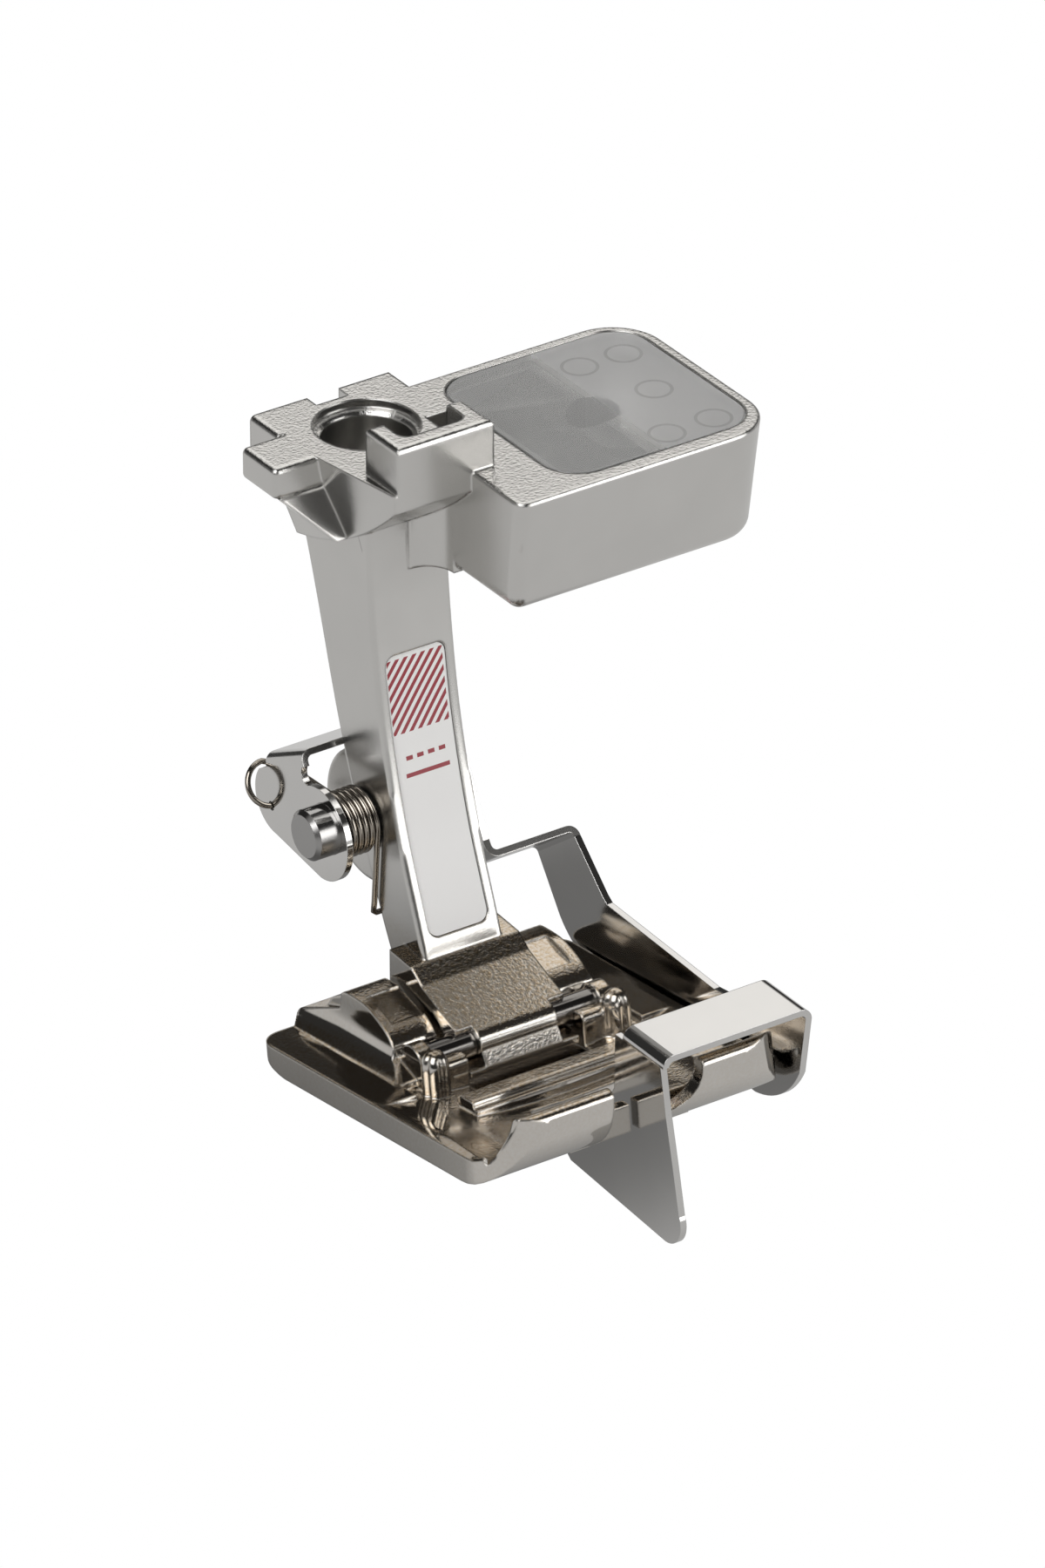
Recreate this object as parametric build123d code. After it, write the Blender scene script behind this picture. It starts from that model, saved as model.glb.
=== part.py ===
from build123d import *
import math
import os

# Clamp-on presser foot with a folded edge guide. Millimetres.
# X runs to the foot's right, -Y to its front, Z up along the presser bar socket.
# Sizes are drawn from the head's top face. The written solids have their origin on the socket's
# axis at the top of its wall, which lies under the lip ring and the chamfer.

# Presser bar socket
SOCKET_R = 3.2
SOCKET_DEPTH = 7.0
SOCKET_LIP_R = 3.75
SOCKET_LIP_DEPTH = 0.7
SOCKET_CHAMFER = 0.3

# Head of the casting
HEAD_LEFT = -6.0
HEAD_RIGHT = 5.45
HEAD_BACK = 5.5
HEAD_FRONT = -9.85
HEAD_PLATE = 3.2
HEAD_BODY_LEFT = -5.45
HEAD_BODY_FRONT_LEFT = -4.25
HEAD_BODY_FOOT_LEFT = -3.7
HEAD_FRONT_DROP = 1.4
HEAD_DEPTH = 9.0
BACK_NOTCH_HALF = 1.3
BACK_NOTCH_DEPTH = 1.2
EDGE_ROUND = 0.45

# Cross wing that keys the foot against turning
WING_TIP = -8.97
WING_HALF = 2.15
WING_THICK = 2.4
WING_GUSSET_FOOT = 7.0

# U-shaped wall in front of the socket
WALL_HALF = 3.95
WALL_HEIGHT = 3.5
WALL_THICK = 1.3
WALL_LENGTH = 3.95
WALL_POCKET_WIDTH = 2.0
WALL_POCKET_LENGTH = 4.6
WALL_POCKET_DEPTH = 2.4

# Hollow sensor box beside the head
BOX_LEFT = 2.1
BOX_RIGHT = 23.9
BOX_FRONT = -15.85
BOX_BACK = 3.15
BOX_DEPTH = 8.9
BOX_DRAFT = 0.9
BOX_CORNER_R = 4.0
BOX_INNER_CORNER_R = 0.9
BOX_FOOT_ROUND = 1.3
BOX_RIM = 0.8
BOX_FRONT_RIM = 1.35
BOX_FLOOR = 1.4
BOX_WEB_R = 2.2

# Clear prism set flush in the box
PRISM_LEFT = 6.7
PRISM_CORNER_R = 2.9
PRISM_GAP = 0.06
PRISM_PLATE = 1.3
PRISM_BODY_INSET = 1.1
PRISM_POST_R = 1.9
PRISM_POST = (14.6, -6.2)
PRISM_EDGE = 0.25

# Shank between head and hinge block
SHANK_HALF = 3.3
SHANK_EDGE = 0.35
SHANK_FRONT = [
    (-5.2, -3.0), (-5.35, -10.5), (-5.9, -15.4), (-6.65, -20.0),
    (-7.75, -24.6), (-9.1, -29.0), (-10.5, -32.6), (-11.9, -36.4),
]
SHANK_BACK = [(3.2, -8.4), (1.1, -15.0), (-1.0, -21.9), (-3.5, -28.5), (-6.1, -34.7), (-7.8, -38.0)]

# Label in its recess on the shank's front face
LABEL_HALF = 2.5
LABEL_TOP = -15.0
LABEL_FOOT = -34.8
LABEL_CORNER_R = 0.8
LABEL_THICK = 0.2
LABEL_RECESS = 0.32
LABEL_GAP = 0.05

# Guide pivot behind the shank
PIVOT_Y = -4.25
PIVOT_Z = -28.0
PIVOT_R = 1.87
PIVOT_LEFT = -8.3
PIVOT_RIGHT = 3.3
PIVOT_FIT = 0.04
PIVOT_CHAMFER = 0.3
LUG_R = 4.9
LUG_EDGE = 0.3

# Hinge block at the shank's foot
BLOCK_HALF = 4.5
NOSE_HALF = 3.2
NOSE_BACK = -17.4
BLOCK_BAR_TOP = -40.85
BLOCK_BAR_FRONT = -19.35
BLOCK_BAR_FOOT = -41.4

# Hinge of the sole
HINGE_Y = -17.2
HINGE_Z = -39.95
HINGE_R = 1.0
HINGE_FIT = 0.04
HINGE_NOSE_R = 1.5
HINGE_END = 8.0
SOLE_TILT = 6.8

# Sole, in its own level frame with the hinge axis at 0, 0
SOLE_HALF = 12.5
SOLE_FOOT = -3.06
SOLE_TOP = -1.05
SOLE_HEEL = 11.5
SOLE_HEEL_LIFT = 1.0
SOLE_HEEL_RUN = 3.6
SOLE_REAR_CORNER_R = 1.2
SOLE_FRONT_CORNER_R = 2.4
TOE_FRONT = -17.5
TOE_BEND_R = 3.5
TOE_TOP = 2.4
TOE_THICK = 1.25
TOE_TIP_HALF = 10.6
TOE_ROUND = 0.45
TOE_INNER_LEFT = -3.4
TOE_INNER_RIGHT = 4.6
BRIDGE_TOP = 0.45
BRIDGE_SETBACK = 0.3
SLOT_GAP = 0.35
SLOT_BACK = -9.0
NEEDLE_WIDTH = 9.0
NEEDLE_BACK = -7.6
NEEDLE_FRONT = -12.9
HOUSING_HALF = 9.6
HOUSING_TOP = 0.45
HOUSING_FRONT = -1.0
HOUSING_DRAFT = 0.5
EAR_GAP = 0.3
EAR_OUTER = 8.2
POST_OUTER = 7.4
POST_FRONT = -2.3
POST_TOP = 0.0
POCKET_FRONT = -4.6
POCKET_FLOOR = -2.3
RIB_TOP = -0.3
RIB_HALF = 7.0
RIB_WIDTH = 1.6
STEP_TOP = -0.7
STEP_WIDTH = 1.2
STAKE_R = 0.95
STAKE_X = 8.1
STAKE_Y = -2.5
STAKE_TOP = 0.75
STAKE_FLUTES = 5
STAKE_FLUTE_R = 0.3

# Folded sheet of the edge guide
SHEET = 0.5
BEND_R = 0.9
EAR_LEFT = -6.4
LEG_RIGHT = 6.4
ARM_GAP = 0.4
ARM_OUTER = SOLE_HALF + ARM_GAP + SHEET
BLADE_LEFT = 1.0
STRIP_FRONT = (-0.85, -23.4)
STRIP_BACK = (3.8, -25.8)
SHELF_FRONT = (-5.9, -33.1)
SHELF_BACK = (-1.3, -36.5)
CLIP_TOP = -34.0
CLIP_FRONT = -34.7
CLIP_BACK = -29.8
HOOK_HOLE = (2.75, -29.47)
HOOK_HOLE_R = 0.34

# Torsion spring round the pivot pin
WIRE_R = 0.21
COIL_R = 2.24
COIL_LEFT = -5.62
COIL_RIGHT = -3.6
COIL_PITCH = 0.46
SPRING_FOOT_Z = -34.2
SPRING_HOOK_X = -2.9
RING_R = 1.5


def side_face(points, x):
    """Flat face at x from points given as (y, z)."""
    return make_face(Polyline(*[(x, y, z) for y, z in points], close=True))


def side_prism(points, x_low, x_high):
    """Solid between two x planes with a side outline of (y, z) points."""
    return extrude(side_face(points, x_low), amount=x_high - x_low, dir=(1, 0, 0))


def block(x_low, x_high, y_low, y_high, z_low, z_high):
    """Box between two corners."""
    size = Box(x_high - x_low, y_high - y_low, z_high - z_low)
    return Pos((x_low + x_high) / 2, (y_low + y_high) / 2, (z_low + z_high) / 2) * size


def cylinder_x(radius, x_low, x_high, y, z):
    """Round bar along X."""
    return Pos((x_low + x_high) / 2, y, z) * Rot(0, 90, 0) * Cylinder(radius, x_high - x_low)


def head():
    """Top plate, cross wing and tapered body of the head."""
    top = make_face(Polyline(
        (HEAD_BODY_LEFT, HEAD_BACK), (HEAD_BODY_LEFT, -WING_HALF), (HEAD_BODY_FRONT_LEFT, HEAD_FRONT),
        (HEAD_RIGHT, HEAD_FRONT), (HEAD_RIGHT, HEAD_BACK), close=True))
    foot = make_face(Polyline(
        (HEAD_BODY_FOOT_LEFT, HEAD_BACK), (HEAD_BODY_FOOT_LEFT, -WING_HALF),
        (HEAD_BODY_FOOT_LEFT, HEAD_FRONT), (HEAD_RIGHT, HEAD_FRONT), (HEAD_RIGHT, HEAD_BACK), close=True))
    body = loft([top, Pos(0, 0, -HEAD_DEPTH) * foot])
    underside = make_face(
        Polyline((0, HEAD_FRONT, -HEAD_FRONT_DROP), (0, HEAD_FRONT, 1), (0, HEAD_BACK, 1),
                 (0, HEAD_BACK, -HEAD_PLATE), (0, SHANK_BACK[0][0], -HEAD_DEPTH + 0.2))
        + ThreePointArc((0, HEAD_FRONT, -HEAD_FRONT_DROP), (0, -5.2, -5.15),
                        (0, SHANK_BACK[0][0], -HEAD_DEPTH + 0.2)))
    body &= extrude(underside, amount=WALL_HALF * 5, dir=(1, 0, 0), both=True)
    plate = block(HEAD_LEFT, HEAD_RIGHT, WING_HALF, HEAD_BACK, -HEAD_PLATE, 0)
    plate = fillet(plate.edges().filter_by(Axis.Y).group_by(Axis.X)[0].group_by(Axis.Z)[-1], EDGE_ROUND)
    notch = block(-BACK_NOTCH_HALF, BACK_NOTCH_HALF, HEAD_BACK - BACK_NOTCH_DEPTH, HEAD_BACK + 1,
                  -HEAD_DEPTH, 1)
    return body + plate + wing() - notch


def wing():
    """Cross wing with the gusset that runs down into the head's flank."""
    bar = block(WING_TIP, HEAD_BODY_LEFT + 1, -WING_HALF, WING_HALF, -WING_THICK, 0)
    bar = fillet(bar.edges().filter_by(Axis.Y).group_by(Axis.X)[0], EDGE_ROUND)
    bar = fillet(bar.edges().filter_by(Axis.X).group_by(Axis.Z)[-1], EDGE_ROUND)
    shelf = Pos(0, 0, -WING_THICK) * make_face(Polyline(
        (WING_TIP + EDGE_ROUND, -WING_HALF), (WING_TIP + EDGE_ROUND, WING_HALF),
        (HEAD_BODY_LEFT + 1, WING_HALF), (HEAD_BODY_LEFT + 1, -WING_HALF), close=True))
    root = Pos(0, 0, -WING_GUSSET_FOOT) * make_face(Polyline(
        (HEAD_BODY_FOOT_LEFT - 0.35, -WING_HALF - 2.2), (HEAD_BODY_FOOT_LEFT - 0.35, WING_HALF),
        (HEAD_BODY_FOOT_LEFT + 1, WING_HALF), (HEAD_BODY_FOOT_LEFT + 1, -WING_HALF - 2.2), close=True))
    return bar + loft([shelf, root])


def u_wall():
    """Raised wall, open to the back and the top, in front of the socket."""
    outer = block(-WALL_HALF, WALL_HALF, HEAD_FRONT, HEAD_FRONT + WALL_LENGTH, -0.5, WALL_HEIGHT)
    inner = block(-WALL_HALF + WALL_THICK, WALL_HALF - WALL_THICK, HEAD_FRONT + WALL_THICK,
                  HEAD_FRONT + WALL_LENGTH + 1, -1, WALL_HEIGHT + 1)
    inner = fillet(inner.edges().filter_by(Axis.Z).group_by(Axis.Y)[0], 0.8)
    wall = outer - inner
    ends = wall.edges().filter_by(Axis.X).group_by(Axis.Y)[-1].group_by(Axis.Z)[-1]
    sides = outer.edges().filter_by(Axis.Y).group_by(Axis.Z)[-1]
    top = wall.edges().filter_by(Axis.Y).group_by(Axis.Z)[-1]
    outside = [e for e in top if abs(abs(e.center().X) - WALL_HALF) < 0.01]
    front = wall.edges().filter_by(Axis.X).group_by(Axis.Y)[0].group_by(Axis.Z)[-1]
    return fillet(list(ends) + outside + list(front), EDGE_ROUND)


def rounded_plan(left, right, front, back, inner_r, outer_r):
    """Rounded box plan whose right corners take the larger radius."""
    plan = make_face(Polyline((left, front), (right, front), (right, back), (left, back), close=True))
    plan = fillet(plan.vertices().group_by(Axis.X)[-1], outer_r)
    return fillet(plan.vertices().group_by(Axis.X)[0], inner_r)


def prism_plan(gap):
    """Window outline, drawn in from the box's rim by a gap all round."""
    return rounded_plan(PRISM_LEFT + gap, BOX_RIGHT - BOX_RIM - gap, BOX_FRONT + BOX_FRONT_RIM + gap,
                        BOX_BACK - BOX_RIM - gap, PRISM_CORNER_R - gap, PRISM_CORNER_R - gap)


def sensor_box():
    """Drafted box with a rounded foot, hollow under the window."""
    top = rounded_plan(BOX_LEFT, BOX_RIGHT, BOX_FRONT, BOX_BACK, BOX_INNER_CORNER_R, BOX_CORNER_R)
    foot = rounded_plan(BOX_LEFT, BOX_RIGHT - BOX_DRAFT, BOX_FRONT + BOX_DRAFT, BOX_BACK - BOX_DRAFT,
                        BOX_INNER_CORNER_R, BOX_CORNER_R - BOX_DRAFT)
    body = loft([top, Pos(0, 0, -BOX_DEPTH) * foot])
    body = fillet(body.edges().group_by(Axis.Z)[0], BOX_FOOT_ROUND)
    body = fillet(body.edges().group_by(Axis.Z)[-1], 0.25)
    corner = block(BOX_LEFT - BOX_WEB_R, BOX_LEFT + 1, SHANK_FRONT[0][0] - 0.2 - BOX_WEB_R, SHANK_FRONT[0][0],
                   -BOX_DEPTH, -2)
    round_off = Pos(BOX_LEFT - BOX_WEB_R, SHANK_FRONT[0][0] - 0.2 - BOX_WEB_R, 0) * Cylinder(
        BOX_WEB_R, 4 * BOX_DEPTH)
    return body + (corner - round_off)


def shank_section():
    """Side outline of the shank, front and back curves closed top and bottom."""
    front = Spline(*[(0, y, z) for y, z in SHANK_FRONT])
    back = Spline(*[(0, y, z) for y, z in SHANK_BACK])
    top = Line((0, *SHANK_FRONT[0]), (0, *SHANK_BACK[0]))
    foot = Line((0, *SHANK_FRONT[-1]), (0, *SHANK_BACK[-1]))
    return make_face([front, foot, back, top])


def shank():
    """Curved shank with the rear lug that carries the guide pin."""
    bar = extrude(shank_section(), amount=SHANK_HALF, dir=(1, 0, 0), both=True)
    long_edges = [e for e in bar.edges() if e.length > 20]
    bar = fillet(long_edges, SHANK_EDGE)
    lug = cylinder_x(LUG_R, -SHANK_HALF + 0.05, SHANK_HALF - 0.05, PIVOT_Y, PIVOT_Z)
    lug = fillet(lug.edges(), LUG_EDGE)
    front_space = extrude(make_face([
        Spline(*[(0, y, z) for y, z in SHANK_FRONT]),
        Polyline((0, *SHANK_FRONT[0]), (0, -30, SHANK_FRONT[0][1]), (0, -30, SHANK_FRONT[-1][1]),
                 (0, *SHANK_FRONT[-1]))]), amount=SHANK_HALF + 1, dir=(1, 0, 0), both=True)
    return bar + (lug - front_space)


def label_band(depth_out, depth_in, gap):
    """Band that follows the shank's front curve, cut to the label's rounded outline."""
    outer = [(y - depth_out, z) for y, z in SHANK_FRONT]
    inner = [(y + depth_in, z) for y, z in SHANK_FRONT]
    face = make_face([
        Spline(*[(0, y, z) for y, z in outer]), Spline(*[(0, y, z) for y, z in inner]),
        Line((0, *outer[0]), (0, *inner[0])), Line((0, *outer[-1]), (0, *inner[-1]))])
    band = extrude(face, amount=SHANK_HALF, dir=(1, 0, 0), both=True)
    outline = RectangleRounded(2 * (LABEL_HALF - gap), LABEL_TOP - LABEL_FOOT - 2 * gap, LABEL_CORNER_R)
    window = extrude(Plane.XZ * outline, amount=20, both=True)
    return band & (Pos(0, -8, (LABEL_TOP + LABEL_FOOT) / 2) * window)


def hinge_block():
    """Block at the shank's foot with a narrow round nose and a full-width lower bar."""
    lean = math.radians(75)
    nose_top = (0, HINGE_Y - HINGE_NOSE_R * math.cos(lean), HINGE_Z + HINGE_NOSE_R * math.sin(lean))
    nose_mid = (0, HINGE_Y - HINGE_NOSE_R * math.cos(lean / 2), HINGE_Z + HINGE_NOSE_R * math.sin(lean / 2))
    nose_front = (0, HINGE_Y - HINGE_NOSE_R, HINGE_Z)
    profile = make_face(
        Polyline(nose_top, (0, -15.4, -37.75), (0, -13.2, -36.95), (0, -11.9, -36.05), (0, -9.2, -35.9),
                 (0, -9.2, -38.6), (0, -12.6, -40.3), (0, -18.4, -41.7), (0, BLOCK_BAR_FRONT, BLOCK_BAR_FOOT),
                 (0, BLOCK_BAR_FRONT, BLOCK_BAR_TOP), nose_front)
        + ThreePointArc(nose_front, nose_mid, nose_top))
    body = extrude(profile, amount=BLOCK_HALF, dir=(1, 0, 0), both=True)
    for side in (-1, 1):
        near, far = sorted((side * NOSE_HALF, side * (BLOCK_HALF + 1)))
        body -= block(near, far, BLOCK_BAR_FRONT - 1, NOSE_BACK, BLOCK_BAR_TOP, BLOCK_BAR_TOP + 5)
    return body - cylinder_x(HINGE_R + HINGE_FIT, -BLOCK_HALF - 1, BLOCK_HALF + 1, HINGE_Y, HINGE_Z)


def socket():
    """Space cut for the presser bar: bore, lip ring and a chamfer between them."""
    bore = Pos(0, 0, -SOCKET_DEPTH / 2 + 1) * Cylinder(SOCKET_R, SOCKET_DEPTH + 2)
    lip = Pos(0, 0, -SOCKET_LIP_DEPTH / 2 + 1) * Cylinder(SOCKET_LIP_R, SOCKET_LIP_DEPTH + 2)
    cone = Pos(0, 0, -SOCKET_LIP_DEPTH - SOCKET_CHAMFER / 2) * Cone(
        SOCKET_R, SOCKET_R + SOCKET_CHAMFER, SOCKET_CHAMFER)
    return bore + lip + cone


def shank_casting():
    """The one-piece die casting."""
    casting = head() + u_wall() + sensor_box() + shank() + hinge_block()
    casting -= block(WALL_HALF, WALL_HALF + WALL_POCKET_WIDTH, HEAD_FRONT + WALL_LENGTH,
                     HEAD_FRONT + WALL_LENGTH + WALL_POCKET_LENGTH, -WALL_POCKET_DEPTH, 1)
    casting -= socket()
    casting -= Pos(0, 0, -BOX_DEPTH + BOX_FLOOR) * extrude(prism_plan(0), amount=BOX_DEPTH)
    casting -= label_band(2, LABEL_RECESS, 0)
    return casting - cylinder_x(PIVOT_R + PIVOT_FIT, -SHANK_HALF - 1, SHANK_HALF + 1, PIVOT_Y, PIVOT_Z)


def sensor_prism():
    """Window plate with a slanted prism and a round post moulded under it."""
    plate = Pos(0, 0, -PRISM_PLATE) * extrude(prism_plan(PRISM_GAP), amount=PRISM_PLATE - 0.05)
    plate = chamfer(plate.edges().group_by(Axis.Z)[-1], PRISM_EDGE * 0.5)
    left = PRISM_LEFT + PRISM_BODY_INSET
    front = BOX_FRONT + BOX_FRONT_RIM + PRISM_BODY_INSET
    back = BOX_BACK - BOX_RIM - PRISM_BODY_INSET
    floor = -BOX_DEPTH + BOX_FLOOR
    wedge = extrude(make_face(Polyline(
        (left, back, -PRISM_PLATE), (left + 6.5, back, -PRISM_PLATE), (left, back, floor + 0.3),
        close=True)), amount=back - front, dir=(0, -1, 0))
    post = Pos(PRISM_POST[0], PRISM_POST[1], (floor - PRISM_PLATE) / 2) * Cylinder(
        PRISM_POST_R, -PRISM_PLATE - floor)
    return plate + wedge + post


def label_plate():
    """Thin printed plate that lies in the recess."""
    return label_band(0, LABEL_RECESS, LABEL_GAP) - label_band(1, LABEL_RECESS - LABEL_THICK, -1)


def toe_outline():
    """Side outline of the sole from heel to upturned toe."""
    wall = TOE_FRONT + TOE_THICK
    return make_face([
        Line((0, SOLE_HEEL, SOLE_TOP), (0, wall - 0.0 + 2.2, SOLE_TOP)),
        ThreePointArc((0, wall + 2.2, SOLE_TOP), (0, wall + 0.64, SOLE_TOP + 0.64), (0, wall, SOLE_TOP + 2.2)),
        Line((0, wall, SOLE_TOP + 2.2), (0, wall, TOE_TOP - TOE_ROUND)),
        ThreePointArc((0, wall, TOE_TOP - TOE_ROUND), (0, wall - TOE_ROUND * 0.3, TOE_TOP - TOE_ROUND * 0.3),
                      (0, wall - TOE_ROUND, TOE_TOP)),
        Line((0, wall - TOE_ROUND, TOE_TOP), (0, TOE_FRONT + TOE_ROUND, TOE_TOP)),
        ThreePointArc((0, TOE_FRONT + TOE_ROUND, TOE_TOP),
                      (0, TOE_FRONT + TOE_ROUND * 0.3, TOE_TOP - TOE_ROUND * 0.3),
                      (0, TOE_FRONT, TOE_TOP - TOE_ROUND)),
        Line((0, TOE_FRONT, TOE_TOP - TOE_ROUND), (0, TOE_FRONT, SOLE_FOOT + TOE_BEND_R)),
        ThreePointArc((0, TOE_FRONT, SOLE_FOOT + TOE_BEND_R),
                      (0, TOE_FRONT + TOE_BEND_R * (1 - math.sqrt(0.5)),
                       SOLE_FOOT + TOE_BEND_R * (1 - math.sqrt(0.5))),
                      (0, TOE_FRONT + TOE_BEND_R, SOLE_FOOT)),
        Line((0, TOE_FRONT + TOE_BEND_R, SOLE_FOOT), (0, SOLE_HEEL - SOLE_HEEL_RUN, SOLE_FOOT)),
        ThreePointArc((0, SOLE_HEEL - SOLE_HEEL_RUN, SOLE_FOOT),
                      (0, SOLE_HEEL - SOLE_HEEL_RUN * 0.45, SOLE_FOOT + SOLE_HEEL_LIFT * 0.25),
                      (0, SOLE_HEEL, SOLE_FOOT + SOLE_HEEL_LIFT)),
        Line((0, SOLE_HEEL, SOLE_FOOT + SOLE_HEEL_LIFT), (0, SOLE_HEEL, SOLE_TOP)),
    ])


def sole_blank():
    """Plate with upturned toe, rounded in plan and cut down at the toe's outer corners."""
    blank = extrude(toe_outline(), amount=SOLE_HALF, dir=(1, 0, 0), both=True)
    plan = make_face(Polyline((-SOLE_HALF, TOE_FRONT), (SOLE_HALF, TOE_FRONT), (SOLE_HALF, SOLE_HEEL),
                              (-SOLE_HALF, SOLE_HEEL), close=True))
    plan = fillet(plan.vertices().group_by(Axis.Y)[0], SOLE_FRONT_CORNER_R)
    plan = fillet(plan.vertices().group_by(Axis.Y)[-1], SOLE_REAR_CORNER_R)
    blank &= extrude(plan, amount=20, both=True)
    for side in (-1, 1):
        corner = make_face(Polyline(
            (side * TOE_TIP_HALF, TOE_FRONT - 1, TOE_TOP + 0.01),
            (side * (SOLE_HALF - 0.5), TOE_FRONT - 1, SOLE_TOP + 0.9),
            (side * (SOLE_HALF + 1), TOE_FRONT - 1, SOLE_TOP), (side * (SOLE_HALF + 1), TOE_FRONT - 1, TOE_TOP + 1),
            (side * TOE_TIP_HALF, TOE_FRONT - 1, TOE_TOP + 1), close=True))
        blank -= extrude(corner, amount=8, dir=(0, 1, 0))
    return blank


def toe_gap():
    """Space between the toes, with the low bridge left standing."""
    gap = block(TOE_INNER_LEFT, TOE_INNER_RIGHT, TOE_FRONT - 1, TOE_FRONT + TOE_THICK + 2.3, BRIDGE_TOP, TOE_TOP + 1)
    gap = fillet(gap.edges().filter_by(Axis.Y).group_by(Axis.Z)[0].group_by(Axis.X)[-1], 1.8)
    face = block(TOE_INNER_LEFT, TOE_INNER_RIGHT - 1.8, TOE_FRONT - 1, TOE_FRONT + BRIDGE_SETBACK,
                 SOLE_FOOT - 1, TOE_TOP + 1)
    return gap + face


def ear_profile():
    """Side outline of a hinge ear with its rounded back, sloped facet and nose over the pin."""
    return make_face([
        Polyline((0, 9.4, SOLE_TOP), (0, 8.6, 1.9)),
        ThreePointArc((0, 8.6, 1.9), (0, 7.9, 2.45), (0, 7.0, 2.6)),
        Polyline((0, 7.0, 2.6), (0, 5.2, 2.5), (0, 2.3, 1.35), (0, 1.5, 0.6), (0, HINGE_R, 0.25),
                 (0, HINGE_R, SOLE_TOP), (0, 9.4, SOLE_TOP)),
    ])


def hinge_side(side):
    """Ear, pin seat and front post on one side of the hinge."""
    inner = BLOCK_HALF + EAR_GAP
    low, high = sorted((side * inner, side * EAR_OUTER))
    ear = extrude(Pos(low, 0, 0) * ear_profile(), amount=high - low, dir=(1, 0, 0))
    low, high = sorted((side * inner, side * POST_OUTER))
    post = block(low, high, POST_FRONT, -HINGE_R, SOLE_TOP - 0.5, POST_TOP)
    post = fillet(post.edges().filter_by(Axis.X).group_by(Axis.Z)[-1].group_by(Axis.Y)[0], 0.6)
    seat = block(low, high, -HINGE_R - 0.1, HINGE_R + 0.1, SOLE_FOOT + 0.3, 0)
    return ear + post + seat + stake(side)


def stake(side):
    """Fluted stake peened beside the pin."""
    body = Pos(side * STAKE_X, STAKE_Y, 0) * extrude(
        Pos(0, 0, SOLE_TOP - 0.3) * Circle(STAKE_R), amount=STAKE_TOP - SOLE_TOP + 0.3, taper=6)
    for n in range(STAKE_FLUTES):
        turn = math.radians(180 + 180 * (n + 0.5) / STAKE_FLUTES)
        body -= Pos(side * STAKE_X + 1.02 * STAKE_R * math.cos(turn),
                    STAKE_Y + 1.02 * STAKE_R * math.sin(turn), 0) * Cylinder(STAKE_FLUTE_R, 8)
    return body


def sole_plate():
    """The die-cast sole in its level frame, turned to the tilt it rests at."""
    sole = sole_blank()
    housing = block(-HOUSING_HALF, HOUSING_HALF, HOUSING_FRONT, SOLE_HEEL - 1.2, SOLE_TOP - 0.5, HOUSING_TOP)
    housing = chamfer(housing.edges().group_by(Axis.Z)[-1], HOUSING_DRAFT)
    ribs = block(-RIB_HALF, RIB_HALF, POCKET_FRONT - RIB_WIDTH, POCKET_FRONT, SOLE_TOP - 0.5, RIB_TOP)
    ribs += block(-RIB_HALF, RIB_HALF, POCKET_FRONT - RIB_WIDTH - STEP_WIDTH, POCKET_FRONT - RIB_WIDTH + 0.1,
                  SOLE_TOP - 0.5, STEP_TOP)
    sole += housing
    sole += ribs
    inner = BLOCK_HALF + EAR_GAP
    sole -= block(-inner, inner, POCKET_FRONT, SOLE_HEEL + 1, POCKET_FLOOR, 10)
    for side in (-1, 1):
        sole += hinge_side(side)
    sole -= cylinder_x(HINGE_R, -HINGE_END - 0.1, HINGE_END + 0.1, 0, 0)
    sole -= block(-HINGE_END - 0.1, HINGE_END + 0.1, -HINGE_R, HINGE_R, 0, 1.0)
    sole -= toe_gap()
    needle = Pos((TOE_INNER_LEFT + TOE_INNER_RIGHT) / 2, (NEEDLE_BACK + NEEDLE_FRONT) / 2, 0) * extrude(
        RectangleRounded(NEEDLE_WIDTH, NEEDLE_BACK - NEEDLE_FRONT, 1.2), amount=20, both=True)
    sole -= needle
    sole -= block(BLADE_LEFT - SLOT_GAP, BLADE_LEFT + SHEET + SLOT_GAP, TOE_FRONT - 1, SLOT_BACK,
                  SOLE_FOOT - 1, TOE_TOP + 1)
    return Pos(0, HINGE_Y, HINGE_Z) * Rot(-SOLE_TILT, 0, 0) * sole


def sole_hinge_pin():
    """Steel pin lying in the sole's open seats."""
    pin = cylinder_x(HINGE_R, -HINGE_END, HINGE_END, 0, 0)
    pin = chamfer(pin.edges().filter_by(GeomType.CIRCLE), 0.15)
    return Pos(0, HINGE_Y, HINGE_Z) * Rot(-SOLE_TILT, 0, 0) * pin


def guide_pivot_pin():
    """Steel pin pressed in the guide's ear, turning in the lug."""
    pin = cylinder_x(PIVOT_R, PIVOT_LEFT, PIVOT_RIGHT, PIVOT_Y, PIVOT_Z)
    return chamfer(pin.edges().filter_by(GeomType.CIRCLE), PIVOT_CHAMFER)


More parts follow.
